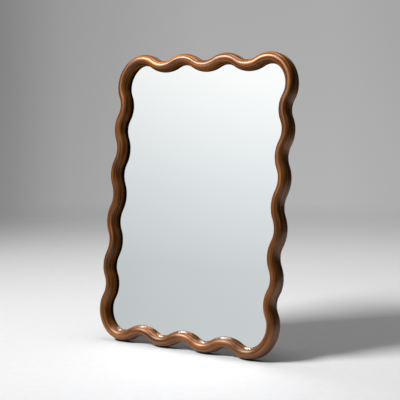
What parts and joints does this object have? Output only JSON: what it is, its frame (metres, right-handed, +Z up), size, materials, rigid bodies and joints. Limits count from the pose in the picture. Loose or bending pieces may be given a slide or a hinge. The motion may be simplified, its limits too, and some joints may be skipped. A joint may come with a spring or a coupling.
{
  "type": "wall mirror",
  "caption": "Rectangular wall mirror in a wavy, round-nosed walnut frame with round corners, hung on swinging rings and held off the wall by rubber bumpers.",
  "frame": {"origin": "on the wall plane, behind the middle of the mirror, where the bumpers' rear faces touch the wall", "axes": "+Z up the mirror, +X to the viewer's right, +Y from the room into the wall; the glass faces -Y"},
  "size_m": [0.635, 0.047, 0.914],
  "materials": {
    "walnut": "satin lacquer over warm brown grain",
    "silvered_glass": "clear silvered float glass",
    "beech": "plain planed",
    "cork": "matt",
    "foam": "soft white sheet",
    "backing_board": "smooth brown fibreboard",
    "zinc_steel": "zinc plated",
    "brass_screw": "brass plated",
    "rubber": "matt black"
  },
  "bodies": {
    "frame": {"top_rail": "walnut", "bottom_rail": "walnut", "left_stile": "walnut", "right_stile": "walnut", "corner_tenon_top_left": "beech", "corner_tenon_top_right": "beech", "corner_tenon_bottom_left": "beech", "corner_tenon_bottom_right": "beech", "mirror_glass": "silvered_glass", "setting_pads": "cork", "foam_sheet": "foam", "backing_board": "backing_board", "turn_button_screws": "brass_screw", "hanger_strap_left": "zinc_steel", "hanger_strap_right": "zinc_steel", "hanger_screws": "brass_screw", "bumper_top_left": "rubber", "bumper_top_right": "rubber", "bumper_bottom_left": "rubber", "bumper_bottom_right": "rubber"},
    "hanger_ring_left": {"hanger_ring_left": "zinc_steel"},
    "hanger_ring_right": {"hanger_ring_right": "zinc_steel"},
    "turn_button_top_1": {"turn_button_top_1": "zinc_steel"},
    "turn_button_top_2": {"turn_button_top_2": "zinc_steel"},
    "turn_button_bottom_1": {"turn_button_bottom_1": "zinc_steel"},
    "turn_button_bottom_2": {"turn_button_bottom_2": "zinc_steel"},
    "turn_button_left_1": {"turn_button_left_1": "zinc_steel"},
    "turn_button_left_2": {"turn_button_left_2": "zinc_steel"},
    "turn_button_left_3": {"turn_button_left_3": "zinc_steel"},
    "turn_button_right_1": {"turn_button_right_1": "zinc_steel"},
    "turn_button_right_2": {"turn_button_right_2": "zinc_steel"},
    "turn_button_right_3": {"turn_button_right_3": "zinc_steel"}
  },
  "joints": [
    {"name": "hanger_ring_left_swing", "type": "hinge", "parent": "frame", "child": "hanger_ring_left", "pos_m": [-0.3005, -0.00412, 0.24043], "axis": [1, 0, 0], "range_deg": [0, 175]},
    {"name": "hanger_ring_right_swing", "type": "hinge", "parent": "frame", "child": "hanger_ring_right", "pos_m": [0.3005, -0.00412, 0.24043], "axis": [1, 0, 0], "range_deg": [0, 175]},
    {"name": "turn_button_top_1_turn", "type": "hinge", "parent": "frame", "child": "turn_button_top_1", "pos_m": [-0.07532, -0.007, 0.4375], "axis": [0, 1, 0], "continuous": true},
    {"name": "turn_button_top_2_turn", "type": "hinge", "parent": "frame", "child": "turn_button_top_2", "pos_m": [0.07532, -0.007, 0.4375], "axis": [0, 1, 0], "continuous": true},
    {"name": "turn_button_bottom_1_turn", "type": "hinge", "parent": "frame", "child": "turn_button_bottom_1", "pos_m": [-0.07532, -0.007, -0.4375], "axis": [0, 1, 0], "continuous": true},
    {"name": "turn_button_bottom_2_turn", "type": "hinge", "parent": "frame", "child": "turn_button_bottom_2", "pos_m": [0.07532, -0.007, -0.4375], "axis": [0, 1, 0], "continuous": true},
    {"name": "turn_button_left_1_turn", "type": "hinge", "parent": "frame", "child": "turn_button_left_1", "pos_m": [-0.301, -0.007, -0.22043], "axis": [0, 1, 0], "continuous": true},
    {"name": "turn_button_left_2_turn", "type": "hinge", "parent": "frame", "child": "turn_button_left_2", "pos_m": [-0.301, -0.007, -0.07537], "axis": [0, 1, 0], "continuous": true},
    {"name": "turn_button_left_3_turn", "type": "hinge", "parent": "frame", "child": "turn_button_left_3", "pos_m": [-0.301, -0.007, 0.07537], "axis": [0, 1, 0], "continuous": true},
    {"name": "turn_button_right_1_turn", "type": "hinge", "parent": "frame", "child": "turn_button_right_1", "pos_m": [0.301, -0.007, -0.22043], "axis": [0, 1, 0], "continuous": true},
    {"name": "turn_button_right_2_turn", "type": "hinge", "parent": "frame", "child": "turn_button_right_2", "pos_m": [0.301, -0.007, -0.07537], "axis": [0, 1, 0], "continuous": true},
    {"name": "turn_button_right_3_turn", "type": "hinge", "parent": "frame", "child": "turn_button_right_3", "pos_m": [0.301, -0.007, 0.07537], "axis": [0, 1, 0], "continuous": true}
  ]
}
